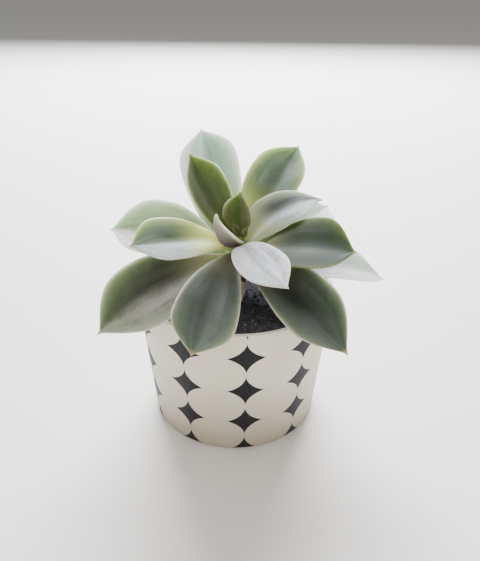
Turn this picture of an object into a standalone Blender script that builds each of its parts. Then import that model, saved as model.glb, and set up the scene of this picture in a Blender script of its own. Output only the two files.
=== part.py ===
"""Potted echeveria: a small rosette succulent in a tapered cachepot, at its real size.

Metres, +Z up. The origin is the middle of the pot's flat underside, and -Y faces the viewer.
"""
import math
from math import cos, sin, radians

import bpy
from mathutils import Vector

MM = 0.001

# Pot: a thin tapered cup
POT_HEIGHT = 47.5 * MM
POT_RIM_RADIUS = 33.0 * MM
POT_BASE_RADIUS = 28.4 * MM
POT_WALL = 1.4 * MM
POT_FLOOR = 2.4 * MM
POT_EDGE = 0.6 * MM
POT_FOOT_EDGE = 1.2 * MM
POT_STEPS = 60

# Soil: fills the pot and stops just under the rim
CLEARANCE = 0.3 * MM
SOIL_TOP = 45.4 * MM
SOIL_RELIEF = 0.5 * MM
SOIL_RINGS = 7
SOIL_STEPS = 40

# Stem: short and woody, leaning a little towards the viewer
STEM_FOOT = Vector((0.2, -1.2, 40.0)) * MM
STEM_TOP = Vector((1.5, -2.2, 65.2)) * MM
STEM_RADIUS = 2.8 * MM
STEM_SCAR_PITCH = 2.6 * MM
STEM_SCAR_DEPTH = 0.22 * MM
STEM_STEPS = 20

# Rosette: leaf 1 is the youngest, and each older one turns on by the golden angle
GOLDEN_ANGLE = 137.5
FIRST_TURN = 225.5
LEAF_SEGMENTS = 16
LEAF_RINGS = 12
LEAF_BASE_WIDTH = 0.24
LEAF_CREASE = 0.25
TIP_SQUARENESS = 3.0
TIP_POINT = 1.4
LEAF_THICKNESS = 2.4 * MM
LEAF_NECK = 0.25

# For each leaf, its place in the spiral, its foot's height, length and width in mm, how deeply
# it is cupped, and where along it the belly is. Then, in degrees, the rise at the foot, the bend
# and tip curl along it, how far it leans from its place in the spiral, its sweep and its roll
LEAVES = [
    dict(place=1, foot=63.7, long=18.2, wide=9.0, cup=0.60, belly=0.25,
         rise=16, bend=64, curl=23, lean=13, sweep=-8, roll=-14),
    dict(place=2, foot=63.8, long=15.0, wide=11.0, cup=0.40, belly=0.45,
         rise=73, bend=15, curl=-4, lean=4, sweep=-19, roll=-28),
    dict(place=3, foot=62.0, long=49.5, wide=12.5, cup=0.30, belly=0.70,
         rise=30, bend=-49, curl=29, lean=-38, sweep=22, roll=19),
    dict(place=4, foot=62.0, long=35.0, wide=17.5, cup=0.20, belly=0.65,
         rise=30, bend=-46, curl=22, lean=36, sweep=1, roll=-25),
    dict(place=5, foot=61.4, long=31.0, wide=19.0, cup=0.20, belly=0.45,
         rise=46, bend=-48, curl=4, lean=3, sweep=-28, roll=8),
    dict(place=6, foot=59.4, long=47.5, wide=18.0, cup=0.30, belly=0.75,
         rise=11, bend=-56, curl=32, lean=-5, sweep=5, roll=-19),
    dict(place=7, foot=60.6, long=34.0, wide=20.0, cup=0.35, belly=0.65,
         rise=46, bend=7, curl=30, lean=12, sweep=22, roll=1),
    dict(place=8, foot=57.8, long=37.0, wide=26.0, cup=0.20, belly=0.65,
         rise=38, bend=-55, curl=12, lean=-17, sweep=25, roll=14),
    dict(place=9, foot=56.8, long=49.5, wide=22.5, cup=0.30, belly=0.60,
         rise=8, bend=-46, curl=14, lean=10, sweep=3, roll=-28),
    dict(place=10, foot=57.2, long=50.5, wide=18.5, cup=0.30, belly=0.60,
         rise=45, bend=-29, curl=11, lean=2, sweep=-20, roll=25),
    dict(place=11, foot=54.2, long=57.0, wide=17.0, cup=0.45, belly=0.60,
         rise=15, bend=-41, curl=28, lean=20, sweep=-28, roll=37),
    dict(place=12, foot=54.4, long=44.0, wide=23.0, cup=0.35, belly=0.60,
         rise=26, bend=-30, curl=-4, lean=5, sweep=14, roll=-29),
    dict(place=13, foot=54.2, long=39.5, wide=24.5, cup=0.35, belly=0.60,
         rise=25, bend=-12, curl=-1, lean=22, sweep=-1, roll=14),
    dict(place=15, foot=51.4, long=58.5, wide=21.0, cup=0.35, belly=0.70,
         rise=35, bend=9, curl=4, lean=4, sweep=6, roll=-21),
    dict(place=21, foot=50.0, long=48.5, wide=27.0, cup=0.25, belly=0.60,
         rise=25, bend=-58, curl=6, lean=4, sweep=9, roll=4),
]

# The tiny leaves on the stem's dome, and the dry one that hangs at the front, by their own turns
HEART_LEAF = dict(foot=65.2, seat=1.2 * MM, long=4.2, wide=3.0, cup=0.5, belly=0.5,
                  rise=62, bend=20, curl=0, sweep=0, roll=0)
HEART_TURNS = (325, 150)
HEART_THICKNESS = 1.4 * MM
WITHERED_LEAF = dict(foot=51.0, long=7.6, wide=3.0, cup=0.5, belly=0.3,
                     rise=-38, bend=-8, curl=0, sweep=-14, roll=10)
WITHERED_TURN = 282
WITHERED_THICKNESS = 0.8 * MM


def collection_for(name):
    """Return a new collection linked to the scene."""
    group = bpy.data.collections.new(name)
    bpy.context.scene.collection.children.link(group)
    return group


def material(name, colour, roughness, subsurface=0.0):
    """Return a Principled material in linear RGB."""
    made = bpy.data.materials.new(name)
    made.use_nodes = True
    shader = made.node_tree.nodes["Principled BSDF"]
    shader.inputs["Base Color"].default_value = (*colour, 1.0)
    shader.inputs["Roughness"].default_value = roughness
    shader.inputs["Metallic"].default_value = 0.0
    shader.inputs["Subsurface Weight"].default_value = subsurface
    return made


def add_mesh_object(name, mesh, group, finish):
    """Link a mesh to the scene as a named, smooth-shaded object."""
    obj = bpy.data.objects.new(name, mesh)
    group.objects.link(obj)
    mesh.materials.clear()
    mesh.materials.append(finish)
    mesh.shade_smooth()
    return obj


def turned(name, profile, steps, group, finish):
    """Turn a closed (radius, height) profile, which runs down its outer side, round Z."""
    mesh = bpy.data.meshes.new(name)
    points = [(radius, 0.0, height) for radius, height in profile]
    edges = [(index, index + 1) for index in range(len(points) - 1)]
    mesh.from_pydata(points, edges, [])
    obj = add_mesh_object(name, mesh, group, finish)
    screw = obj.modifiers.new("Turn", "SCREW")
    screw.steps = steps
    screw.render_steps = steps
    screw.use_merge_vertices = True
    screw.merge_threshold = 0.00001
    screw.use_smooth_shade = True
    return obj


def apply_modifiers(obj):
    """Replace an object's mesh with its evaluated mesh."""
    graph = bpy.context.evaluated_depsgraph_get()
    baked = bpy.data.meshes.new_from_object(obj.evaluated_get(graph))
    obj.modifiers.clear()
    obj.data = baked


def arc(centre, radius, start, end, count):
    """Return points of a profile's rounded corner, from start to end in degrees."""
    angles = [radians(start + (end - start) * step / count) for step in range(count + 1)]
    return [(centre[0] + radius * cos(a), centre[1] + radius * sin(a)) for a in angles]


def pot_radius(height):
    """Return the pot's outer radius at a height."""
    return POT_BASE_RADIUS + (POT_RIM_RADIUS - POT_BASE_RADIUS) * height / POT_HEIGHT


def make_pot(group):
    """A tapered cup with a thin rounded rim and a flat underside."""
    glaze = material("cream_and_charcoal_glaze", (0.66, 0.62, 0.52), 0.42)
    edge = POT_EDGE
    foot = POT_FOOT_EDGE
    inner_floor = pot_radius(POT_FLOOR) - POT_WALL
    profile = [(0.0, POT_FLOOR), (inner_floor, POT_FLOOR)]
    rim_in = (POT_RIM_RADIUS - POT_WALL + edge, POT_HEIGHT - edge)
    rim_out = (POT_RIM_RADIUS - edge, POT_HEIGHT - edge)
    profile += arc(rim_in, edge, 180, 90, 3)
    profile += arc(rim_out, edge, 90, 0, 3)
    profile += [(pot_radius(height * POT_HEIGHT), height * POT_HEIGHT) for height in (0.75, 0.5, 0.25)]
    profile += arc((POT_BASE_RADIUS - foot, foot), foot, 0, -90, 4)
    profile += [(0.0, 0.0)]
    return turned("pot", profile, POT_STEPS, group, glaze)


def stem_point(height):
    """Return the middle of the stem at a height."""
    share = (height - STEM_FOOT.z) / (STEM_TOP.z - STEM_FOOT.z)
    return STEM_FOOT.lerp(STEM_TOP, share)


def soil_relief(x, y):
    """Return the uneven height of the soil's surface at a place."""
    u = x / MM
    v = y / MM
    swell = sin(0.31 * u + 0.7) * cos(0.27 * v - 0.4)
    crumbs = 0.6 * sin(1.05 * u + 0.8 * v) * sin(0.9 * v - 0.6 * u + 1.3)
    return SOIL_RELIEF * (swell + crumbs) / 1.6


def make_soil(group):
    """Potting soil: fills the pot, with a rough top and a plain hole for the stem."""
    peat = material("dark_peat", (0.012, 0.011, 0.012), 0.95)
    hole = STEM_RADIUS + CLEARANCE
    bottom = POT_FLOOR + CLEARANCE
    top_edge = pot_radius(SOIL_TOP) - POT_WALL - CLEARANCE
    low_edge = pot_radius(bottom) - POT_WALL - CLEARANCE
    hole_floor = STEM_FOOT.z - CLEARANCE
    profile = [(0.0, hole_floor), (hole, hole_floor), (hole, SOIL_TOP)]
    for ring in range(1, SOIL_RINGS + 1):
        share = ring / SOIL_RINGS
        profile.append((hole + (top_edge - hole) * share, SOIL_TOP))
    profile += [(low_edge, bottom), (0.0, bottom)]
    soil = turned("potting_soil", profile, SOIL_STEPS, group, peat)
    apply_modifiers(soil)
    for vertex in soil.data.vertices:
        point = vertex.co
        away = math.hypot(point.x, point.y)
        inside = max(0.0, 1.0 - away / (top_edge - 0.5 * MM))
        # The hole follows the stem's foot, and the shift dies out towards the pot
        shift = min(1.0, 2.0 * inside) if point.z > hole_floor - MM else 0.0
        if point.z > SOIL_TOP - MM:
            point.z += soil_relief(point.x, point.y) * min(1.0, max(0.0, away - hole) / (4 * MM))
        middle = stem_point(point.z)
        point.x += middle.x * shift
        point.y += middle.y * shift
    return soil


def make_stem(group):
    """A short woody stem with the scars of fallen leaves and a domed top."""
    bark = material("stem_bark", (0.23, 0.19, 0.10), 0.8)
    axis = STEM_TOP - STEM_FOOT
    length = axis.length
    dome = STEM_RADIUS * 0.8
    count = int((length - dome) / (STEM_SCAR_PITCH / 2))
    profile = [(0.0, length), (STEM_RADIUS * 0.5, length - dome * 0.25)]
    for step in range(count + 1):
        along = (length - dome) * (1 - step / count)
        scar = STEM_SCAR_DEPTH if step % 2 else 0.0
        profile.append((STEM_RADIUS - scar, along))
    profile.append((0.0, 0.0))
    stem = turned("stem", profile, STEM_STEPS, group, bark)
    stem.location = STEM_FOOT
    stem.rotation_mode = "QUATERNION"
    stem.rotation_quaternion = axis.to_track_quat("Z", "Y")
    return stem


def leaf_half_width(along, belly):
    """Return the outline's half width, as a share of the widest, from foot (0) to tip (1)."""
    if along < belly:
        growth = sin(along / belly * math.pi / 2) ** 1.5
        return LEAF_BASE_WIDTH + (1 - LEAF_BASE_WIDTH) * growth
    past = (along - belly) / (1 - belly)
    return max(0.0, 1 - past ** TIP_SQUARENESS) ** TIP_POINT


def leaf_frames(leaf, turn, steps=120):
    """Walk out along the midrib and return (point, across, up) at even steps."""
    length = leaf["long"] * MM
    root = stem_point(leaf["foot"] * MM)
    out = Vector((cos(turn), sin(turn), 0.0))
    point = root + out * leaf.get("seat", STEM_RADIUS + CLEARANCE)
    roll = radians(leaf["roll"])
    frames = []
    for step in range(steps + 1):
        along = step / steps
        climb = radians(leaf["rise"] + leaf["bend"] * along + leaf["curl"] * along ** 3)
        swing = turn + radians(leaf["sweep"]) * along
        ahead = Vector((cos(climb) * cos(swing), cos(climb) * sin(swing), sin(climb)))
        up = Vector((-sin(climb) * cos(swing), -sin(climb) * sin(swing), cos(climb)))
        side = Vector((-sin(swing), cos(swing), 0.0))
        frames.append((point.copy(), side * cos(roll) + up * sin(roll), up * cos(roll) - side * sin(roll)))
        point = point + ahead * (length / steps)
    return frames


def make_leaf(name, leaf, turn, group, finish, thickness=LEAF_THICKNESS):
    """A fleshy spoon-shaped leaf: a ball whose rings are drawn out along a curved midrib."""
    bpy.ops.mesh.primitive_uv_sphere_add(segments=LEAF_SEGMENTS, ring_count=LEAF_RINGS, radius=1.0)
    obj = bpy.context.active_object
    obj.name = name
    obj.data.name = name
    for holder in obj.users_collection:
        holder.objects.unlink(obj)
    group.objects.link(obj)
    frames = leaf_frames(leaf, turn)
    half = leaf["wide"] * MM / 2
    rim_lift = math.sqrt(1 + LEAF_CREASE ** 2) - LEAF_CREASE
    for vertex in obj.data.vertices:
        ball = vertex.co.copy()
        along = (1 + ball.z) / 2
        around = math.hypot(ball.x, ball.y)
        across = ball.x / around if around > 1e-5 else 0.0
        raised = ball.y / around if around > 1e-5 else 0.0
        width = half * leaf_half_width(along, leaf["belly"]) * (1.0 if around > 1e-5 else 0.0)
        trough = leaf["cup"] * width * (math.sqrt(across ** 2 + LEAF_CREASE ** 2) - LEAF_CREASE) / rim_lift
        neck = min(1.0, 0.5 + 0.5 * along / LEAF_NECK)
        flesh = thickness / 2 * (1 - 0.55 * along ** 2) * neck * raised
        place = min(along, 0.9999) * (len(frames) - 1)
        point, side, up = frames[int(place)]
        ahead = frames[int(place) + 1][0] - point
        vertex.co = point + ahead * (place - int(place)) + side * across * width + up * (trough + flesh)
    obj.data.materials.append(finish)
    obj.data.shade_smooth()
    return obj


def make_rosette(group):
    """The open leaves, the closed heart and the one withered leaf at the foot."""
    waxy = material("waxy_grey_green_leaf", (0.30, 0.36, 0.26), 0.55, 0.1)
    young = material("young_green_leaf", (0.25, 0.33, 0.12), 0.5, 0.1)
    dry = material("dry_brown_leaf", (0.25, 0.16, 0.09), 0.8)
    for leaf in LEAVES:
        turn = radians(FIRST_TURN - GOLDEN_ANGLE * (leaf["place"] - 1) + leaf["lean"])
        make_leaf(f"leaf_{leaf['place']:02d}", leaf, turn, group, waxy)
    for index, turn in enumerate(HEART_TURNS):
        make_leaf(f"heart_leaf_{index + 1}", HEART_LEAF, radians(turn), group, young, HEART_THICKNESS)
    make_leaf("withered_leaf", WITHERED_LEAF, radians(WITHERED_TURN), group, dry, WITHERED_THICKNESS)


def main():
    for obj in list(bpy.data.objects):
        bpy.data.objects.remove(obj, do_unlink=True)
    group = collection_for("potted_echeveria")
    make_pot(group)
    make_soil(group)
    make_stem(group)
    make_rosette(group)


main()
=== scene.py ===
"""Potted echeveria: the finished surfaces of the plant, its soil and its pot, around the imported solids.

Metres, +Z up. The plant stands on the floor at the origin and -Y faces the viewer.
"""
import random
from math import atan2, cos, exp, hypot, pi, radians, sin, sqrt

import bpy
from mathutils import Matrix, Vector, noise


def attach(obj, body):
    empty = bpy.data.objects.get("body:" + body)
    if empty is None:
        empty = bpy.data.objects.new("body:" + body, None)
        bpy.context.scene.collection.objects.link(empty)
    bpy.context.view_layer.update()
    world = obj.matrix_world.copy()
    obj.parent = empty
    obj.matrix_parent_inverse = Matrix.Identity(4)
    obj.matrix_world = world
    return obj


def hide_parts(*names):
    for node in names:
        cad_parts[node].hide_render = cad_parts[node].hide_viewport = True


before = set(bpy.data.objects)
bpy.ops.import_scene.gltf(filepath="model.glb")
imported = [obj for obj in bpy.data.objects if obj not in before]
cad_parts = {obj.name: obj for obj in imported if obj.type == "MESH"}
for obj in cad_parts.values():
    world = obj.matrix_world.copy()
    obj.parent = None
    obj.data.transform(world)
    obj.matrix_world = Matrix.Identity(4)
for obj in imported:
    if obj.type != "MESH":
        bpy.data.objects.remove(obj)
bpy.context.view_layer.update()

MM = 0.001
SEED = 11

# Camera: the photo's viewpoint, worked out from the pot's rim, base and pattern
SENSOR_HEIGHT = 36.0
PHOTO_HEIGHT = 561
FOCAL_PIXELS = 575
CAMERA_PLACE = Vector((0.0, -171.95, 137.41)) * MM
CAMERA_PITCH = 27.4
CAMERA_YAW = -0.51
CAMERA_ROLL = -0.6
FLOOR_SIZE = 24.0

# Pot
POT_HEIGHT = 47.5 * MM
POT_RIM_RADIUS = 33.0 * MM
POT_BASE_RADIUS = 28.4 * MM
POT_WALL = 1.4 * MM
POT_FLOOR = 2.4 * MM
POT_SIDES = 192
RIM_BEVEL = 0.62 * MM
FOOT_BEVEL = 1.2 * MM
BEVEL_STEPS = 5

# Its print: ten columns of ovals, turned by a few degrees, and one oval every 12.9 mm up it
PATTERN_COLUMNS = 10
PATTERN_TURN = 6.27
PATTERN_PITCH = 12.9 * MM
OVAL_HALF_HEIGHT = 7.0 * MM
PRINT_DEPTH = 0.35 * MM
PRINT_STOP = 0.4 * MM

# Soil: how high it stands, and the width and depth of its lumps and crumbs
CLEARANCE = 0.3 * MM
SOIL_TOP = 45.4 * MM
SOIL_SKIRT = 6 * MM
SOIL_CELLS = 200
BIG_LUMP = 9 * MM
SMALL_LUMP = 3.2 * MM
CRUMB = 1.5 * MM
LUMP_DEPTHS = (0.35 * MM, 0.25 * MM)
CRUMB_DEPTH = 0.45 * MM

# Loose grains: finish, count, and the smallest and largest size in mm
GRAINS = {
    "grit_pale": ("grit", 420, 0.12, 0.34),
    "crumbs_dark": ("peat", 260, 0.3, 0.9),
}

# Stem: its lean and size, leaf scars up it on the rosette's spiral, and faint growth rings
STEM_FOOT = Vector((0.2, -1.2, 40.0)) * MM
STEM_TOP = Vector((1.5, -2.2, 65.2)) * MM
STEM_RADIUS = 2.8 * MM
LEAF_SCARS = 20
TOP_SCAR = 64 * MM
SCAR_PITCH = 1.05 * MM
SCAR_DEPTH = 0.18 * MM
SCAR_WIDTH = 1.5 * MM
SCAR_HEIGHT = 0.6 * MM
GROWTH_RING = 0.45 * MM
DOME_SHARE = 0.10
FAN_SHARE = 0.004
BARK_TOP = 52 * MM
GREEN_FROM = 60 * MM

# Rosette: the same spiral, outline and section as the solids, on a finer mesh
GOLDEN_ANGLE = 137.5
FIRST_TURN = 225.5
LEAF_BASE_WIDTH = 0.24
LEAF_CREASE = 0.34
LEAF_PILLOW = 0.035
LEAF_NECK = 0.25
TIP_SQUARENESS = 3.0
TIP_POINT = 1.4
TIP_REACH = 0.975
BRISTLE_RADIUS = 0.5 * MM
BRISTLE_FROM = 0.9
BRISTLE_TAPER = 0.04
MARGIN_WAVE = 0.012
KEEL_HEIGHT = 0.35
KEEL_WIDTH = 0.15
TIP_THINNING = 0.55
DENT_DEPTH = 0.3 * MM
LEAF_THICKNESS = 2.4 * MM
LEAF_SIDES = 40
LEAF_RINGS = 64

# For each leaf, its place in the spiral, its foot's height, length and width in mm, how deeply
# it is cupped, and where along it the belly is. Then, in degrees, the rise at the foot, the bend
# and tip curl along it, how far it leans from its place in the spiral, its sweep and its roll
LEAVES = [
    dict(place=1, foot=63.7, long=18.2, wide=9.0, cup=0.60, belly=0.25,
         rise=16, bend=64, curl=23, lean=13, sweep=-8, roll=-14),
    dict(place=2, foot=63.8, long=15.0, wide=11.0, cup=0.40, belly=0.45,
         rise=73, bend=15, curl=-4, lean=4, sweep=-19, roll=-28),
    dict(place=3, foot=62.0, long=49.5, wide=12.5, cup=0.30, belly=0.70,
         rise=30, bend=-49, curl=29, lean=-38, sweep=22, roll=19),
    dict(place=4, foot=62.0, long=35.0, wide=17.5, cup=0.20, belly=0.65,
         rise=30, bend=-46, curl=22, lean=36, sweep=1, roll=-25),
    dict(place=5, foot=61.4, long=31.0, wide=19.0, cup=0.20, belly=0.45,
         rise=46, bend=-48, curl=4, lean=3, sweep=-28, roll=8),
    dict(place=6, foot=59.4, long=47.5, wide=18.0, cup=0.30, belly=0.75,
         rise=11, bend=-56, curl=32, lean=-5, sweep=5, roll=-19),
    dict(place=7, foot=60.6, long=34.0, wide=20.0, cup=0.35, belly=0.65,
         rise=46, bend=7, curl=30, lean=12, sweep=22, roll=1),
    dict(place=8, foot=57.8, long=37.0, wide=26.0, cup=0.20, belly=0.65,
         rise=38, bend=-55, curl=12, lean=-17, sweep=25, roll=14),
    dict(place=9, foot=56.8, long=49.5, wide=22.5, cup=0.30, belly=0.60,
         rise=8, bend=-46, curl=14, lean=10, sweep=3, roll=-28),
    dict(place=10, foot=57.2, long=50.5, wide=18.5, cup=0.30, belly=0.60,
         rise=45, bend=-29, curl=11, lean=2, sweep=-20, roll=25),
    dict(place=11, foot=54.2, long=57.0, wide=17.0, cup=0.45, belly=0.60,
         rise=15, bend=-41, curl=28, lean=20, sweep=-28, roll=37),
    dict(place=12, foot=54.4, long=44.0, wide=23.0, cup=0.35, belly=0.60,
         rise=26, bend=-30, curl=-4, lean=5, sweep=14, roll=-29),
    dict(place=13, foot=54.2, long=39.5, wide=24.5, cup=0.35, belly=0.60,
         rise=25, bend=-12, curl=-1, lean=22, sweep=-1, roll=14),
    dict(place=15, foot=51.4, long=58.5, wide=21.0, cup=0.35, belly=0.70,
         rise=35, bend=9, curl=4, lean=4, sweep=6, roll=-21),
    dict(place=21, foot=50.0, long=48.5, wide=27.0, cup=0.25, belly=0.60,
         rise=25, bend=-58, curl=6, lean=4, sweep=9, roll=4),
]
HEART_LEAF = dict(foot=65.2, seat=1.2 * MM, long=4.2, wide=3.0, cup=0.5, belly=0.5,
                  rise=62, bend=20, curl=0, sweep=0, roll=0)
HEART_TURNS = (325, 150)
WITHERED_LEAF = dict(foot=51.0, long=7.6, wide=3.0, cup=0.5, belly=0.3,
                     rise=-38, bend=-8, curl=0, sweep=-14, roll=10)
WITHERED_TURN = 282
HEART_THICKNESS = 1.4 * MM
WITHERED_THICKNESS = 0.8 * MM
WITHERED_CRINKLE = 0.3 * MM

# Tones of the leaves' wax: the flesh in the middle (face), at the foot and near the margins (glow),
# the dust on it (bloom), the margin, the underside (under) and the bristle (tip). leaf_wax explains
# the numbers. The glow is a painted glow of light through the thin flesh. The foot's colour is partly
# painted shade and painted glow. The two numbers of dust paint light on one half of the leaf and shade
# on the other. The oldest leaves are pale, the heart is lilac and fresh green. The darker tone of the
# leaves in front, which face away from the light, is partly painted shade
# The leaves in front face away from the light, and their darker tone is partly painted shade
SHADED_FRONT_TONE = dict(face="#373b34", foot="#87886a", glow="#464c42", bloom="#626b64", margin="#b3a794",
                  through=0.7, rim=22)
SIDE_TONE = dict(face="#4b5b3c", foot="#c9d67e", glow="#87974d", bloom="#939f98", margin="#d5d6bf",
                 frost=0.18)
PALE_TONE = dict(face="#9bb0ab", foot="#b0c490", glow="#b3c3ae", bloom="#cad4d8", margin="#e0dcd2",
                 frost=0.2, through=0.75)
LILAC_TONE = dict(face="#7d827e", foot="#5a5545", glow="#838186", bloom="#bebdc8", margin="#dcd5d2",
                  under="#b5a7ab", through=0.6)
FRESH_TONE = dict(face="#48532f", foot="#5a6c22", glow="#5b5a45", bloom="#667052", margin="#b5b190")
LEAF_TONES = {
    1: LILAC_TONE | dict(name="young_lilac_wax", face="#7c7370", foot="#574a4a", glow="#92898c",
                         under="#aaa2ab", tip="#cbc3cb", dust=(0.8, 0.1), cover=0.95),
    2: FRESH_TONE | dict(name="heart_green_wax", face="#46532a", margin="#6b6155", under="#56622c",
                         dust=(0.9, 0.1), rim=2.5, through=0.6),
    3: LILAC_TONE | dict(name="lilac_white_wax", face="#656a68", foot="#4f4a3a", glow="#6f6e70",
                         bloom="#bec1c9", tip="#cdc2c5", dust=(0.3, 0.85), cover=0.8, frost=0.04,
                         gloss=0.15),
    4: SIDE_TONE | dict(name="half_lit_wax_left", face="#45583a", foot="#eefa80", bloom="#a2aeb0",
                        tip="#5e4034", dust=(0.15, 1.0), cover=0.65, seam=0.15),
    5: SIDE_TONE | dict(name="half_lit_wax_right", face="#2f3c2a", foot="#bcc296", glow="#7b8a4a",
                        bloom="#8b9298", tip="#c6c2c6", dust=(0.65, 0.05)),
    6: SHADED_FRONT_TONE | dict(name="grey_green_wax_middle", face="#2d322c", dust=(0.25, 0.3)),
    7: FRESH_TONE | dict(name="fresh_green_wax", glow="#4d5526", tip="#7d6a45", dust=(0.35, 0.1),
                         through=0.55),
    8: SIDE_TONE | dict(name="dark_green_wax", face="#2f392a", foot="#848a62", glow="#414c2d",
                        bloom="#3a443e", margin="#72765a", dust=(0.6, 0.05), seam=0.15, frost=0.03,
                        gloss=0.05),
    9: SHADED_FRONT_TONE | dict(name="grey_green_wax_left", face="#33322e", foot="#b3b198", bloom="#8b8a82",
                         dust=(0.08, 1.0), seam=-0.1),
    10: SIDE_TONE | dict(name="open_green_wax", face="#435437", foot="#e6ee86", glow="#84926c",
                         bloom="#93a0a1", tip="#cfc6c8", dust=(0.4, 0.35), cover=0.6),
    11: SHADED_FRONT_TONE | dict(name="grey_green_wax_right", face="#31362f", foot="#6e6d52",
                          dust=(0.0, 0.2), gloss=0.07),
    12: PALE_TONE | dict(name="pale_green_wax", face="#87a07c", glow="#9fb08a", bloom="#d2d0cc",
                         dust=(0.2, 0.85)),
    13: PALE_TONE | dict(name="pale_blue_green_wax", face="#b0c0bd", bloom="#dde3e8"),
    15: PALE_TONE | dict(name="pale_wax_behind", face="#9aada9", foot="#9db476", margin="#efeef0",
                         tip="#d8cdd2", dust=(0.05, 0.6), cover=0.65, rim=9),
    21: PALE_TONE | dict(name="pale_grey_green_wax", face="#929d90", glow="#a9b1a2", bloom="#c6c9c6",
                         tip="#b9a79c", dust=(0.5, 0.2)),
}

# Patterns in the finishes, as how often they repeat in a metre
DUST_PATCHES = 140.0
DUST_SPECKS = 600.0
LEAF_PORES = 1500.0
PRINT_GRAIN = 900.0
CREAM_CLOUDS = 110.0
PEAT_CRUMBS = 700.0
PERLITE_PITS = 1600.0
CORK_CRACKS = 600.0


def linear(hex_colour):
    """Turn an sRGB hex colour into linear RGBA."""
    value = hex_colour.lstrip("#")
    channels = [int(value[i:i + 2], 16) / 255 for i in (0, 2, 4)]
    turned = [c / 12.92 if c <= 0.04045 else ((c + 0.055) / 1.055) ** 2.4 for c in channels]
    return (*turned, 1.0)


def add_node(tree, kind, inputs=None, output=0, stops=(), **settings):
    """Add a node, set it up, fill or link its inputs, and return one of its outputs."""
    node = tree.nodes.new(kind)
    for name, value in settings.items():
        setattr(node, name, value)
    for key, value in (inputs or {}).items():
        if isinstance(value, bpy.types.NodeSocket):
            tree.links.new(value, node.inputs[key])
        else:
            node.inputs[key].default_value = value
    for index, (place, colour) in enumerate(stops):
        if index > 1:
            node.color_ramp.elements.new(1.0)
        node.color_ramp.elements[index].position = place
        node.color_ramp.elements[index].color = linear(colour)
    return node.outputs[output]


def new_material(name, **values):
    """Return a material with its tree and its Principled shader, whose plain sockets are set."""
    made = bpy.data.materials.new(name)
    made.use_nodes = True
    shader = made.node_tree.nodes["Principled BSDF"]
    for socket, value in values.items():
        shader.inputs[socket.replace("_", " ")].default_value = value
    return made, made.node_tree, shader


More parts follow.
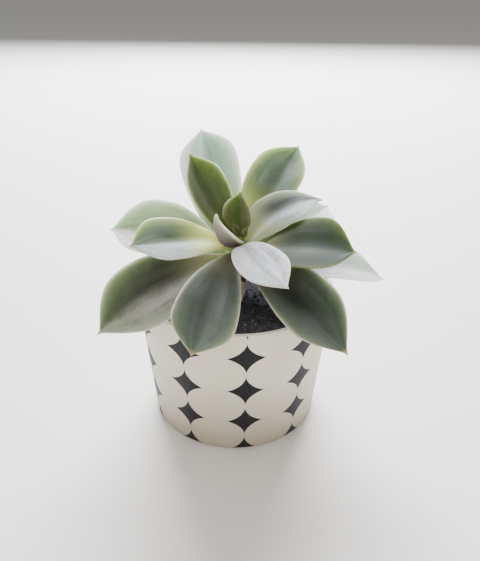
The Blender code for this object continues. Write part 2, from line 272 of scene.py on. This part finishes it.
def leaf_wax(name, face, foot, glow, bloom, margin, dust=(0.3, 0.3), frost=0.12, gloss=0.25, rim=16,
             through=0.4, cover=0.5, seam=0.0, under="#7f8574", tip="#8a6f57"):
    """Living leaf: green flesh that passes light, under a thin coat of dull waxy dust.

    The dust scatters light at a glancing angle, as strongly as frost says. Most leaves take more of the
    dust's colour on one half than on the other, and that difference is painted light on the one half and
    painted shade on the other: dust gives its strength on the right and the left half, seen from the
    stem, and seam says where across the leaf they meet. gloss is the skin's own shine, and through is
    how much blue light the flesh passes. cover is how far along the leaf the colour of its foot reaches,
    a colour that is partly the foot's own and partly painted shade and painted glow, and a higher rim
    makes the margin narrower.
    """
    made, tree, shader = new_material(name, IOR=1.42, Subsurface_Weight=0.6, Subsurface_Scale=5 * MM,
                                      Subsurface_Radius=(0.85, 1.0, through), Sheen_Weight=frost,
                                      Specular_IOR_Level=gloss, Sheen_Roughness=0.35,
                                      Sheen_Tint=linear("#e6e8f2"))
    place = add_node(tree, "ShaderNodeAttribute", output="Vector", attribute_name="leaf_place")
    across, along, side = add_node(tree, "ShaderNodeSeparateXYZ", {0: place}).node.outputs
    edge = add_node(tree, "ShaderNodeMath", {0: across}, operation="ABSOLUTE")
    body = add_node(tree, "ShaderNodeTexCoord", output="Object")
    # The dust lies in soft patches about 7 mm across, rubbed thin in bands along the leaf
    patches = add_node(tree, "ShaderNodeTexNoise",
                       {"Vector": body, "Scale": DUST_PATCHES, "Detail": 5.0, "Roughness": 0.6})
    stretched = add_node(tree, "ShaderNodeVectorMath", {0: place, 1: (2.6, 1.3, 0.0)}, operation="MULTIPLY")
    bands = add_node(tree, "ShaderNodeTexNoise", {"Vector": stretched, "Scale": 1.0, "Detail": 2.0})
    wear = add_node(tree, "ShaderNodeMath", {0: patches, 1: bands}, operation="ADD")
    patchy = add_node(tree, "ShaderNodeMapRange", {0: wear, 1: 0.75, 2: 1.25, 3: 0.4, 4: 1.5})
    # One half takes more of the dust's pale colour than the other: painted light on the one half and
    # painted shade on the other
    half = add_node(tree, "ShaderNodeMapRange",
                    {0: across, 1: seam - 0.12, 2: seam + 0.12, 3: dust[0], 4: dust[1]},
                    interpolation_type="SMOOTHSTEP")
    # Less dust along the crease of the midrib, so the crease is darker: partly wax worn off, partly painted
    # crease shade
    crease_wear_and_shade = add_node(tree, "ShaderNodeMapRange", {0: edge, 1: 0.0, 2: 0.35, 3: 0.5, 4: 1.0},
                      interpolation_type="SMOOTHSTEP")
    # The dust is thickest towards the tip
    kept = add_node(tree, "ShaderNodeMapRange", {0: along, 1: 0.4, 2: 0.95, 3: 0.85, 4: 1.5})
    dust_and_half_light = add_node(tree, "ShaderNodeMath", {0: patchy, 1: half}, operation="MULTIPLY")
    dust_and_half_light = add_node(tree, "ShaderNodeMath", {0: dust_and_half_light, 1: kept}, operation="MULTIPLY")
    dust_and_half_light = add_node(tree, "ShaderNodeMath", {0: dust_and_half_light, 1: crease_wear_and_shade}, operation="MULTIPLY", use_clamp=True)
    # Towards the margins the flesh takes the glow colour: a painted glow of light passing through the thin
    # flesh
    thin = add_node(tree, "ShaderNodeMapRange", {0: edge, 1: 0.35, 2: 0.97, 3: 0.0, 4: 0.75},
                    interpolation_type="SMOOTHSTEP")
    flesh = add_node(tree, "ShaderNodeMix", {0: thin, 6: linear(face), 7: linear(glow)}, 2,
                     data_type="RGBA")
    skin = add_node(tree, "ShaderNodeMix", {0: dust_and_half_light, 6: flesh, 7: linear(bloom)}, 2, data_type="RGBA")
    # Fine mottling of the dust, under 2 mm across, with lengthwise streaks
    specks = add_node(tree, "ShaderNodeTexNoise",
                      {"Vector": body, "Scale": DUST_SPECKS, "Detail": 3.0, "Roughness": 0.7})
    mottled = add_node(tree, "ShaderNodeMath", {0: specks, 1: 0.5, 2: bands}, operation="MULTIPLY_ADD")
    tone = add_node(tree, "ShaderNodeMapRange", {0: mottled, 1: 0.5, 2: 1.0, 3: 0.80, 4: 1.16})
    skin = add_node(tree, "ShaderNodeVectorMath", {0: skin, "Scale": tone}, operation="SCALE")
    # The underside is plainer
    back = add_node(tree, "ShaderNodeMapRange", {0: side, 1: 0.0, 2: -0.2, 3: 0.0, 4: 0.6})
    skin = add_node(tree, "ShaderNodeMix", {0: back, 6: skin, 7: linear(under)}, 2, data_type="RGBA")
    # Its foot, which the younger leaves cover, has another colour and little dust: partly the foot's own
    # colour, partly painted shade from the leaves over it and painted glow of light through it
    foot_tone_shade_and_glow = add_node(tree, "ShaderNodeMapRange", {0: along, 1: 0.1, 2: cover, 3: 0.9, 4: 0.0},
                       interpolation_type="SMOOTHSTEP")
    skin = add_node(tree, "ShaderNodeMix", {0: foot_tone_shade_and_glow, 6: skin, 7: linear(foot)}, 2, data_type="RGBA")
    # The margin has its own colour for 1 mm or less, and so has the bristle at the tip
    border = add_node(tree, "ShaderNodeMath", {0: edge, 1: rim}, operation="POWER")
    border = add_node(tree, "ShaderNodeMath", {0: border, 1: 0.85}, operation="MULTIPLY")
    skin = add_node(tree, "ShaderNodeMix", {0: border, 6: skin, 7: linear(margin)}, 2, data_type="RGBA")
    end = add_node(tree, "ShaderNodeMapRange", {0: along, 1: 0.955, 2: 0.988, 3: 0.0, 4: 0.9})
    skin = add_node(tree, "ShaderNodeMix", {0: end, 6: skin, 7: linear(tip)}, 2, data_type="RGBA")
    tree.links.new(skin, shader.inputs["Base Color"])
    rough = add_node(tree, "ShaderNodeMapRange", {0: wear, 1: 0.7, 2: 1.3, 3: 0.46, 4: 0.66})
    tree.links.new(rough, shader.inputs["Roughness"])
    # Pores under 1 mm apart roughen the skin, and it swells a little in bands
    pores = add_node(tree, "ShaderNodeTexNoise", {"Vector": body, "Scale": LEAF_PORES, "Detail": 2.0})
    grainy = add_node(tree, "ShaderNodeBump", {"Height": pores, "Strength": 0.05, "Distance": 0.2 * MM})
    swell = add_node(tree, "ShaderNodeBump",
                     {"Height": bands, "Normal": grainy, "Strength": 0.2, "Distance": 1.0 * MM})
    tree.links.new(swell, shader.inputs["Normal"])
    return made


def dry_leaf_skin():
    """Dead leaf: papery, pinkish beige and a little translucent, veined along its length."""
    made, tree, shader = new_material("dry_papery_leaf", Roughness=0.75, Subsurface_Weight=0.2,
                                      Subsurface_Scale=1 * MM)
    place = add_node(tree, "ShaderNodeAttribute", output="Vector", attribute_name="leaf_place")
    stretched = add_node(tree, "ShaderNodeVectorMath", {0: place, 1: (9.0, 1.6, 1.0)}, operation="MULTIPLY")
    veins = add_node(tree, "ShaderNodeTexNoise", {"Vector": stretched, "Scale": 1.5, "Detail": 4.0})
    colour = add_node(tree, "ShaderNodeValToRGB", {0: veins},
                      stops=[(0.3, "#a8928a"), (0.55, "#d0bcb0"), (0.75, "#eee2d8")])
    tree.links.new(colour, shader.inputs["Base Color"])
    ridge = add_node(tree, "ShaderNodeBump", {"Height": veins, "Strength": 0.6, "Distance": 0.3 * MM})
    tree.links.new(ridge, shader.inputs["Normal"])
    return made


def printed_pot_finish():
    """Satin cream earthenware printed with rows of touching ovals, whose gaps are charcoal stars.

    The print is matt and stands a hair proud; the cream clouds softly from pink to green.
    """
    made, tree, shader = new_material("printed_satin_earthenware", IOR=1.5, Specular_IOR_Level=0.25)
    spot = add_node(tree, "ShaderNodeTexCoord", output="Object")
    x, y, z = add_node(tree, "ShaderNodeSeparateXYZ", {0: spot}).node.outputs
    toward = add_node(tree, "ShaderNodeMath", {0: y, 1: -1.0}, operation="MULTIPLY")
    turn = add_node(tree, "ShaderNodeMath", {0: x, 1: toward}, operation="ARCTAN2")
    # Twenty whole repeats are added to each count, so that none is below zero
    column = add_node(tree, "ShaderNodeMath", {0: turn, 1: PATTERN_COLUMNS / (2 * pi),
                                               2: 20.0 - PATTERN_TURN * PATTERN_COLUMNS / 360},
                      operation="MULTIPLY_ADD")
    row = add_node(tree, "ShaderNodeMath", {0: z, 1: 1 / PATTERN_PITCH, 2: 20.0},
                   operation="MULTIPLY_ADD")
    squares = []
    for count, half in ((column, 0.5), (row, OVAL_HALF_HEIGHT / PATTERN_PITCH)):
        place = add_node(tree, "ShaderNodeMath", {0: count}, operation="FRACT")
        offset = add_node(tree, "ShaderNodeMath", {0: place, 1: 1 / half, 2: -0.5 / half},
                          operation="MULTIPLY_ADD")
        squares.append(add_node(tree, "ShaderNodeMath", {0: offset, 1: offset}, operation="MULTIPLY"))
    reach = add_node(tree, "ShaderNodeMath", {0: squares[0], 1: squares[1]}, operation="ADD")
    ink = add_node(tree, "ShaderNodeMapRange", {0: reach, 1: 1.0, 2: 1.018})
    # The print stops at the turned-in rim, and there is none inside
    flat = add_node(tree, "ShaderNodeVectorMath", {0: spot, 1: (1.0, 1.0, 0.0)}, operation="MULTIPLY")
    radius = add_node(tree, "ShaderNodeVectorMath", {0: flat}, "Value", operation="LENGTH")
    slope = (POT_RIM_RADIUS - POT_BASE_RADIUS) / POT_HEIGHT
    skin = add_node(tree, "ShaderNodeMath", {0: z, 1: slope, 2: POT_BASE_RADIUS - PRINT_DEPTH},
                    operation="MULTIPLY_ADD")
    outside = add_node(tree, "ShaderNodeMath", {0: radius, 1: skin}, operation="GREATER_THAN")
    below = add_node(tree, "ShaderNodeMath", {0: z, 1: POT_HEIGHT - PRINT_STOP}, operation="LESS_THAN")
    printed = add_node(tree, "ShaderNodeMath", {0: outside, 1: below}, operation="MULTIPLY")
    ink = add_node(tree, "ShaderNodeMath", {0: ink, 1: printed}, operation="MULTIPLY")
    # The ink has a grain of about 1 mm, and the cream clouds over about 9 mm
    grain = add_node(tree, "ShaderNodeTexNoise", {"Vector": spot, "Scale": PRINT_GRAIN, "Detail": 4.0})
    cloud = add_node(tree, "ShaderNodeTexNoise", {"Vector": spot, "Scale": CREAM_CLOUDS, "Detail": 2.0})
    cream = add_node(tree, "ShaderNodeValToRGB", {0: cloud},
                     stops=[(0.3, "#e9dfcc"), (0.5, "#ebe5d1"), (0.7, "#e6e6d3")])
    # Darker towards its foot: painted shade on the lower wall
    foot = add_node(tree, "ShaderNodeMapRange", {0: z, 1: 0.0, 2: 30 * MM, 3: 0.8, 4: 0.0})
    cream = add_node(tree, "ShaderNodeMix", {0: foot, 6: cream, 7: linear("#9a8f7f")}, 2, data_type="RGBA")
    charcoal = add_node(tree, "ShaderNodeValToRGB", {0: grain}, stops=[(0.3, "#18181d"), (0.7, "#202026")])
    colour = add_node(tree, "ShaderNodeMix", {0: ink, 6: cream, 7: charcoal}, 2, data_type="RGBA")
    tree.links.new(colour, shader.inputs["Base Color"])
    rough = add_node(tree, "ShaderNodeMath", {0: ink, 1: 0.12, 2: 0.42}, operation="MULTIPLY_ADD")
    tree.links.new(rough, shader.inputs["Roughness"])
    height = add_node(tree, "ShaderNodeMath", {0: grain, 1: 0.4, 2: ink}, operation="MULTIPLY_ADD")
    bump = add_node(tree, "ShaderNodeBump", {"Height": height, "Strength": 0.3, "Distance": 0.1 * MM})
    tree.links.new(bump, shader.inputs["Normal"])
    return made


def peat_soil():
    """Damp peat: nearly black crumbs, matt and greyer where they are dry."""
    made, tree, shader = new_material("damp_peat", Roughness=1.0, Specular_IOR_Level=0.1)
    spot = add_node(tree, "ShaderNodeTexCoord", output="Object")
    # Crumbs are 1 to 2 mm across, each with finer ones on it
    crumbs = add_node(tree, "ShaderNodeTexNoise",
                      {"Vector": spot, "Scale": PEAT_CRUMBS, "Detail": 6.0, "Roughness": 0.65})
    colour = add_node(tree, "ShaderNodeValToRGB", {0: crumbs},
                      stops=[(0.30, "#2e2e33"), (0.52, "#444349"), (0.66, "#5a5962"), (0.78, "#807f87")])
    # Darkest round the stem: painted shade where the leaves over it keep the light off the soil
    centred = add_node(tree, "ShaderNodeVectorMath", {0: spot, 1: (1.0, 1.0, 0.0)}, operation="MULTIPLY")
    away = add_node(tree, "ShaderNodeVectorMath", {0: centred}, "Value", operation="LENGTH")
    painted_leaf_shade = add_node(tree, "ShaderNodeMapRange", {0: away, 1: 8 * MM, 2: 24 * MM, 3: 0.75, 4: 0.0},
                   interpolation_type="SMOOTHSTEP")
    colour = add_node(tree, "ShaderNodeMix", {0: painted_leaf_shade, 6: colour, 7: linear("#1c1d22")}, 2, data_type="RGBA")
    tree.links.new(colour, shader.inputs["Base Color"])
    bump = add_node(tree, "ShaderNodeBump", {"Height": crumbs, "Strength": 0.8, "Distance": 0.5 * MM})
    tree.links.new(bump, shader.inputs["Normal"])
    return made


def mineral_grit():
    """Crushed perlite in the soil: chalky, pale and stained by the peat, in grains of under 1 mm."""
    made, tree, shader = new_material("crushed_perlite", Roughness=0.85)
    spot = add_node(tree, "ShaderNodeTexCoord", output="Object")
    # Pits and stains are about 0.6 mm apart
    speck = add_node(tree, "ShaderNodeTexNoise", {"Vector": spot, "Scale": PERLITE_PITS, "Detail": 3.0})
    colour = add_node(tree, "ShaderNodeValToRGB", {0: speck},
                      stops=[(0.3, "#4c4a50"), (0.5, "#7f7c84"), (0.75, "#bdbabd")])
    tree.links.new(colour, shader.inputs["Base Color"])
    bump = add_node(tree, "ShaderNodeBump", {"Height": speck, "Strength": 0.5, "Distance": 0.2 * MM})
    tree.links.new(bump, shader.inputs["Normal"])
    return made


def stem_bark():
    """Young bark: brown and corky at the foot, still green and smooth under the youngest leaves."""
    made, tree, shader = new_material("stem_bark", Roughness=0.75, Subsurface_Weight=0.1,
                                      Subsurface_Scale=1 * MM)
    spot = add_node(tree, "ShaderNodeTexCoord", output="Object")
    z = add_node(tree, "ShaderNodeSeparateXYZ", {0: spot}, "Z")
    # Cracks are under 2 mm apart, and closer up the stem than round it
    flat = add_node(tree, "ShaderNodeVectorMath", {0: spot, 1: (1.0, 1.0, 2.6)}, operation="MULTIPLY")
    cork = add_node(tree, "ShaderNodeTexNoise", {"Vector": flat, "Scale": CORK_CRACKS, "Detail": 5.0})
    brown = add_node(tree, "ShaderNodeValToRGB", {0: cork},
                     stops=[(0.3, "#4a3828"), (0.5, "#6c543f"), (0.7, "#8f7a62")])
    green = add_node(tree, "ShaderNodeValToRGB", {0: cork}, stops=[(0.3, "#55602d"), (0.7, "#77853f")])
    youth = add_node(tree, "ShaderNodeMapRange", {0: z, 1: BARK_TOP, 2: GREEN_FROM},
                     interpolation_type="SMOOTHSTEP")
    colour = add_node(tree, "ShaderNodeMix", {0: youth, 6: brown, 7: green}, 2, data_type="RGBA")
    tree.links.new(colour, shader.inputs["Base Color"])
    bump = add_node(tree, "ShaderNodeBump", {"Height": cork, "Strength": 0.5, "Distance": 0.3 * MM})
    tree.links.new(bump, shader.inputs["Normal"])
    return made


def deselect_all():
    """Leave nothing selected, so that an operator acts only on the new piece."""
    if bpy.context.object and bpy.context.object.mode != "OBJECT":
        bpy.ops.object.mode_set(mode="OBJECT")
    bpy.ops.object.select_all(action="DESELECT")


def name_piece(name, finish):
    """Name the newest object and give it its one finish."""
    piece = bpy.context.active_object
    piece.name = name
    piece.data.name = name
    piece.data.materials.clear()
    piece.data.materials.append(finish)
    return piece


def stand_in(piece, node):
    """Let a piece take the place of a solid: the solid is hidden and the piece hangs from the root."""
    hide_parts(node)
    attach(piece, "root")


def stem_point(height):
    """Return the middle of the stem at a height."""
    share = (height - STEM_FOOT.z) / (STEM_TOP.z - STEM_FOOT.z)
    return STEM_FOOT.lerp(STEM_TOP, share)


def leaf_half_width(along, belly):
    """Return the outline's half width, as a share of the widest, from foot (0) to tip (1)."""
    if along < belly:
        growth = sin(along / belly * pi / 2) ** 1.5
        return LEAF_BASE_WIDTH + (1 - LEAF_BASE_WIDTH) * growth
    past = (along - belly) / (1 - belly) / TIP_REACH
    return max(0.0, 1 - past ** TIP_SQUARENESS) ** TIP_POINT


def leaf_frames(leaf, turn, steps=200):
    """Walk out along the midrib and return (point, across, up) at even steps."""
    length = leaf["long"] * MM
    out = Vector((cos(turn), sin(turn), 0.0))
    point = stem_point(leaf["foot"] * MM) + out * leaf.get("seat", STEM_RADIUS + CLEARANCE)
    roll = radians(leaf["roll"])
    frames = []
    for step in range(steps + 1):
        along = step / steps
        climb = radians(leaf["rise"] + leaf["bend"] * along + leaf["curl"] * along ** 3)
        swing = turn + radians(leaf["sweep"]) * along
        ahead = Vector((cos(climb) * cos(swing), cos(climb) * sin(swing), sin(climb)))
        up = Vector((-sin(climb) * cos(swing), -sin(climb) * sin(swing), cos(climb)))
        side = Vector((-sin(swing), cos(swing), 0.0))
        frames.append((point.copy(), side * cos(roll) + up * sin(roll), up * cos(roll) - side * sin(roll)))
        point = point + ahead * (length / steps)
    return frames


def grow_leaf(name, leaf, turn, finish, thickness=LEAF_THICKNESS, crinkle=0.0):
    """A fleshy spoon-shaped leaf: a ball whose rings are drawn out along a curved midrib."""
    deselect_all()
    bpy.ops.mesh.primitive_uv_sphere_add(segments=LEAF_SIDES, ring_count=LEAF_RINGS, radius=1.0)
    piece = name_piece(name, finish)
    mesh = piece.data
    marks = mesh.attributes.new("leaf_place", "FLOAT_VECTOR", "POINT")
    frames = leaf_frames(leaf, turn)
    half = leaf["wide"] * MM / 2
    rim_lift = sqrt(1 + LEAF_CREASE ** 2) - LEAF_CREASE
    seed = Vector((leaf["foot"], leaf["long"], turn))
    for vertex in mesh.vertices:
        ball = vertex.co.copy()
        along = (1 + ball.z) / 2
        around = hypot(ball.x, ball.y)
        pole = around < 1e-5
        across = 0.0 if pole else ball.x / around
        raised = 0.0 if pole else ball.y / around
        width = 0.0 if pole else half * leaf_half_width(along, leaf["belly"])
        if along > BRISTLE_FROM and not pole:
            # The tip ends in a short stiff bristle
            width = max(width, BRISTLE_RADIUS * sqrt(min(1.0, (1 - along) / BRISTLE_TAPER)))
        width *= 1 + MARGIN_WAVE * noise.noise(seed + Vector((across * 1.5, along * 9, 0)))
        # The two halves rise from the midrib to the margins, and each is a little pillowed
        trough = leaf["cup"] * width * (sqrt(across ** 2 + LEAF_CREASE ** 2) - LEAF_CREASE) / rim_lift
        trough += LEAF_PILLOW * width * sin(pi * abs(across)) ** 2 * sin(pi * min(1.0, along * 1.1))
        neck = min(1.0, 0.5 + 0.5 * along / LEAF_NECK)
        flesh = thickness / 2 * (1 - TIP_THINNING * along ** 2) * neck * sqrt(1 - along ** 24) * raised
        if raised < 0:
            # A low keel runs under the midrib and fades towards the tip
            flesh *= 1 + KEEL_HEIGHT * exp(-(across / KEEL_WIDTH) ** 2) * (1 - along)
        dents = DENT_DEPTH * noise.noise(seed + Vector((across * 1.8, along * 4, 3)))
        dents += crinkle * noise.noise(seed + Vector((across * 4, along * 7, 7)))
        place = min(along, 0.9999) * (len(frames) - 1)
        point, side, up = frames[int(place)]
        ahead = frames[int(place) + 1][0] - point
        lift = trough + flesh + dents * (1 - across ** 2)
        vertex.co = point + ahead * (place - int(place)) + side * across * width + up * lift
        marks.data[vertex.index].vector = (across, along, raised)
    mesh.shade_smooth()
    return piece


def plant_rosette():
    """The open leaves, each with its own tone, the two heart leaves and the withered one."""
    waxes = {place: leaf_wax(**tone) for place, tone in LEAF_TONES.items()}
    for leaf in LEAVES:
        turn = radians(FIRST_TURN - GOLDEN_ANGLE * (leaf["place"] - 1) + leaf["lean"])
        node = f"leaf_{leaf['place']:02d}"
        stand_in(grow_leaf(f"{node}_waxed", leaf, turn, waxes[leaf["place"]]), node)
    for index, turn in enumerate(HEART_TURNS):
        node = f"heart_leaf_{index + 1}"
        piece = grow_leaf(f"{node}_waxed", HEART_LEAF, radians(turn), waxes[2], HEART_THICKNESS)
        stand_in(piece, node)
    withered = grow_leaf("withered_leaf_dry", WITHERED_LEAF, radians(WITHERED_TURN), dry_leaf_skin(),
                         WITHERED_THICKNESS, WITHERED_CRINKLE)
    stand_in(withered, "withered_leaf")


def grow_stem():
    """The short trunk: a ball drawn out to a rod, with growth rings and a dent at each leaf's scar."""
    deselect_all()
    bpy.ops.mesh.primitive_uv_sphere_add(segments=64, ring_count=120, radius=1.0)
    stem = name_piece("stem_bark_covered", stem_bark())
    axis = STEM_TOP - STEM_FOOT
    scars = [(radians(FIRST_TURN - GOLDEN_ANGLE * step), TOP_SCAR - SCAR_PITCH * step)
             for step in range(LEAF_SCARS)]
    for vertex in stem.data.vertices:
        ball = vertex.co.copy()
        rise = (1 + ball.z) / 2
        turn = atan2(ball.y, ball.x)
        height = STEM_FOOT.z + rise * axis.z
        # Straight-sided up to a domed top
        domed = max(0.0, (rise - 1 + DOME_SHARE) / DOME_SHARE)
        radius = STEM_RADIUS * sqrt(max(0.0, 1 - domed ** 2))
        # Its foot is closed by a flat fan
        radius = min(radius, STEM_RADIUS * rise / FAN_SHARE)
        for scar_turn, scar_height in scars:
            aside = (turn - scar_turn + pi) % (2 * pi) - pi
            above = height - scar_height
            dent = exp(-(aside * STEM_RADIUS / SCAR_WIDTH) ** 2 - (above / SCAR_HEIGHT) ** 2)
            radius -= SCAR_DEPTH * dent * min(1.0, radius / STEM_RADIUS)
        rough = 0.03 * noise.noise(Vector((turn, height * 900, 0)))
        radius *= 0.97 * (1 + 0.02 * sin(height / GROWTH_RING) + rough)
        vertex.co = STEM_FOOT + axis * rise + Vector((cos(turn), sin(turn), 0.0)) * radius
    stem.data.shade_smooth()
    stand_in(stem, "stem")


def edit_faces(piece, wanted):
    """Go to edit mode with just the wanted faces selected."""
    bpy.ops.object.mode_set(mode="EDIT")
    bpy.ops.mesh.select_all(action="DESELECT")
    bpy.ops.object.mode_set(mode="OBJECT")
    for face in piece.data.polygons:
        face.select = wanted(face)
    bpy.ops.object.mode_set(mode="EDIT")


def throw_pot():
    """The tapered cup: a drum drawn in at its foot, hollowed, and softened at rim and foot."""
    deselect_all()
    bpy.ops.mesh.primitive_cylinder_add(vertices=POT_SIDES, radius=POT_RIM_RADIUS, depth=POT_HEIGHT,
                                        location=(0, 0, POT_HEIGHT / 2), end_fill_type="NGON")
    bpy.ops.object.transform_apply(location=True)
    pot = name_piece("pot_printed", printed_pot_finish())
    edit_faces(pot, lambda face: face.normal.z < -0.9)
    taper = POT_BASE_RADIUS / POT_RIM_RADIUS
    bpy.ops.transform.resize(value=(taper, taper, 1))
    edit_faces(pot, lambda face: face.normal.z > 0.9)
    bpy.ops.mesh.inset(thickness=POT_WALL)
    bpy.ops.mesh.extrude_region_move(TRANSFORM_OT_translate={"value": (0, 0, POT_FLOOR - POT_HEIGHT)})
    inner_foot = POT_BASE_RADIUS + (POT_RIM_RADIUS - POT_BASE_RADIUS) * POT_FLOOR / POT_HEIGHT - POT_WALL
    drawn = inner_foot / (POT_RIM_RADIUS - POT_WALL)
    bpy.ops.transform.resize(value=(drawn, drawn, 1))
    bpy.ops.object.mode_set(mode="OBJECT")
    for height, width in ((POT_HEIGHT, RIM_BEVEL), (0.0, FOOT_BEVEL)):
        for edge in pot.data.edges:
            ends = [pot.data.vertices[index].co for index in edge.vertices]
            level = all(abs(end.z - height) < 0.01 * MM for end in ends)
            ring = abs(ends[0].to_2d().length - ends[1].to_2d().length) < 0.01 * MM
            edge.select = level and ring
        bpy.ops.object.mode_set(mode="EDIT")
        bpy.ops.mesh.select_mode(type="EDGE")
        bpy.ops.mesh.bevel(offset=width, segments=BEVEL_STEPS, profile=0.5)
        bpy.ops.mesh.select_all(action="DESELECT")
        bpy.ops.object.mode_set(mode="OBJECT")
    bpy.ops.object.shade_smooth_by_angle(angle=radians(35))
    stand_in(pot, "pot")


def fill_soil():
    """Soil up to just below the rim: a round bed of lumps and crumbs with a skirt that closes it."""
    deselect_all()
    bpy.ops.mesh.primitive_grid_add(x_subdivisions=SOIL_CELLS, y_subdivisions=SOIL_CELLS, size=2.0)
    soil = name_piece("soil_crumbly", peat_soil())
    slope = (POT_RIM_RADIUS - POT_BASE_RADIUS) / POT_HEIGHT
    brim = POT_BASE_RADIUS + slope * SOIL_TOP - POT_WALL - CLEARANCE / 2
    for vertex in soil.data.vertices:
        x, y, _ = vertex.co
        # A square of cells is pressed into a round bed
        flat = Vector((x * sqrt(1 - y * y / 2), y * sqrt(1 - x * x / 2), 0.0))
        place = flat * brim
        height = SOIL_TOP + LUMP_DEPTHS[0] * noise.noise(place / BIG_LUMP)
        height += LUMP_DEPTHS[1] * noise.noise(place / SMALL_LUMP)
        height += CRUMB_DEPTH * (noise.turbulence(place / CRUMB, 3, True, amplitude_scale=0.6) - 0.5)
        vertex.co = place + Vector((0, 0, height))
    bpy.ops.object.mode_set(mode="EDIT")
    bpy.ops.mesh.select_all(action="SELECT")
    bpy.ops.mesh.region_to_loop()
    bpy.ops.mesh.extrude_edges_move(TRANSFORM_OT_translate={"value": (0, 0, -SOIL_SKIRT)})
    bpy.ops.mesh.edge_face_add()
    bpy.ops.mesh.select_all(action="SELECT")
    bpy.ops.mesh.normals_make_consistent(inside=False)
    bpy.ops.object.mode_set(mode="OBJECT")
    soil.data.shade_smooth()
    stand_in(soil, "potting_soil")
    return soil, brim


def scatter_grit(soil, brim):
    """Broken grains, half sunk in the soil: many pale specks and some dark crumbs.

    One grain of each kind is broken off a ball, and its copies differ in size, turn and stretch.
    """
    heights = {}
    for vertex in soil.data.vertices:
        if vertex.co.z > SOIL_TOP - SOIL_SKIRT / 2:
            key = (round(vertex.co.x / MM), round(vertex.co.y / MM))
            heights[key] = max(heights.get(key, 0.0), vertex.co.z)
    finishes = {"grit": mineral_grit(), "peat": soil.data.materials[0]}
    for name, (kind, count, smallest, largest) in GRAINS.items():
        deselect_all()
        bpy.ops.mesh.primitive_ico_sphere_add(subdivisions=1, radius=1.0)
        grain = name_piece(name, finishes[kind])
        for vertex in grain.data.vertices:
            vertex.co *= 1 + 0.5 * noise.noise(vertex.co * 1.7)
        for _ in range(count):
            copy = bpy.data.objects.new(name, grain.data.copy())
            bpy.context.collection.objects.link(copy)
            turn = random.uniform(0, 2 * pi)
            away = sqrt(random.uniform(0.02, 1.0)) * (brim - MM)
            size = smallest + (largest - smallest) * random.random() ** 2.5
            x, y = away * cos(turn), away * sin(turn)
            ground = heights.get((round(x / MM), round(y / MM)), SOIL_TOP)
            copy.location = (x, y, ground - size * MM * 0.1)
            copy.rotation_euler = [random.uniform(0, 2 * pi) for _ in range(3)]
            copy.scale = [size * MM * random.uniform(0.7, 1.2) for _ in range(3)]
            copy.select_set(True)
        bpy.data.objects.remove(grain)
        bpy.context.view_layer.objects.active = bpy.context.selected_objects[0]
        bpy.ops.object.join()
        bpy.ops.object.transform_apply(location=True, rotation=True, scale=True)
        piece = name_piece(name, finishes[kind])
        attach(piece, "root")


def add_area_light(name, place, aim, size, power, colour):
    """A soft rectangular light that faces a point."""
    bpy.ops.object.light_add(type="AREA", location=place)
    light = bpy.context.active_object
    light.name = name
    light.data.shape = "RECTANGLE"
    light.data.size = size[0]
    light.data.size_y = size[1]
    light.data.energy = power
    light.data.color = linear(colour)[:3]
    light.rotation_euler = (Vector(aim) - Vector(place)).to_track_quat("-Z", "Y").to_euler()


def light_scene():
    """Soft daylight from low behind, with weak light from above and from the viewer's side."""
    add_area_light("window_light", place=(0.02, 0.95, 0.72), aim=(0, 0, 0.05), size=(1.0, 0.6),
                   power=64.0, colour="#fbfbff")
    add_area_light("overhead_light", place=(-0.2, -0.1, 1.1), aim=(0, 0, 0.04), size=(0.8, 0.8),
                   power=4.0, colour="#fbfbff")
    add_area_light("front_fill", place=(0.1, -1.0, 0.7), aim=(0, 0, 0.04), size=(1.2, 0.6),
                   power=7.0, colour="#fff6ea")
    world = bpy.data.worlds.new("pale_room")
    bpy.context.scene.world = world
    world.use_nodes = True
    walls = world.node_tree.nodes["Background"]
    walls.inputs["Color"].default_value = linear("#eceae6")
    walls.inputs["Strength"].default_value = 0.35


def lay_floor():
    """A plain pale floor out past the horizon."""
    deselect_all()
    bpy.ops.mesh.primitive_plane_add(size=FLOOR_SIZE, location=(0, 0, 0))
    paint = new_material("pale_matt_paint", Base_Color=linear("#f6f4f0"), Roughness=0.6)[0]
    name_piece("floor", paint)


def set_camera():
    """The photo's viewpoint and framing."""
    bpy.ops.object.camera_add()
    camera = bpy.context.active_object
    camera.name = "photo_camera"
    camera.data.sensor_fit = "VERTICAL"
    camera.data.sensor_height = SENSOR_HEIGHT
    camera.data.lens = SENSOR_HEIGHT * FOCAL_PIXELS / PHOTO_HEIGHT
    camera.data.clip_start = 0.01
    camera.data.clip_end = 50.0
    aim = Matrix.Rotation(radians(CAMERA_YAW), 4, "Z") @ Matrix.Rotation(radians(-CAMERA_PITCH), 4, "X")
    aim = aim @ Matrix.Rotation(radians(CAMERA_ROLL), 4, "Y") @ Matrix.Rotation(radians(90), 4, "X")
    camera.matrix_world = Matrix.Translation(CAMERA_PLACE) @ aim
    bpy.context.scene.camera = camera


random.seed(SEED)
set_camera()
plant_rosette()
grow_stem()
throw_pot()
scatter_grit(*fill_soil())
lay_floor()
light_scene()
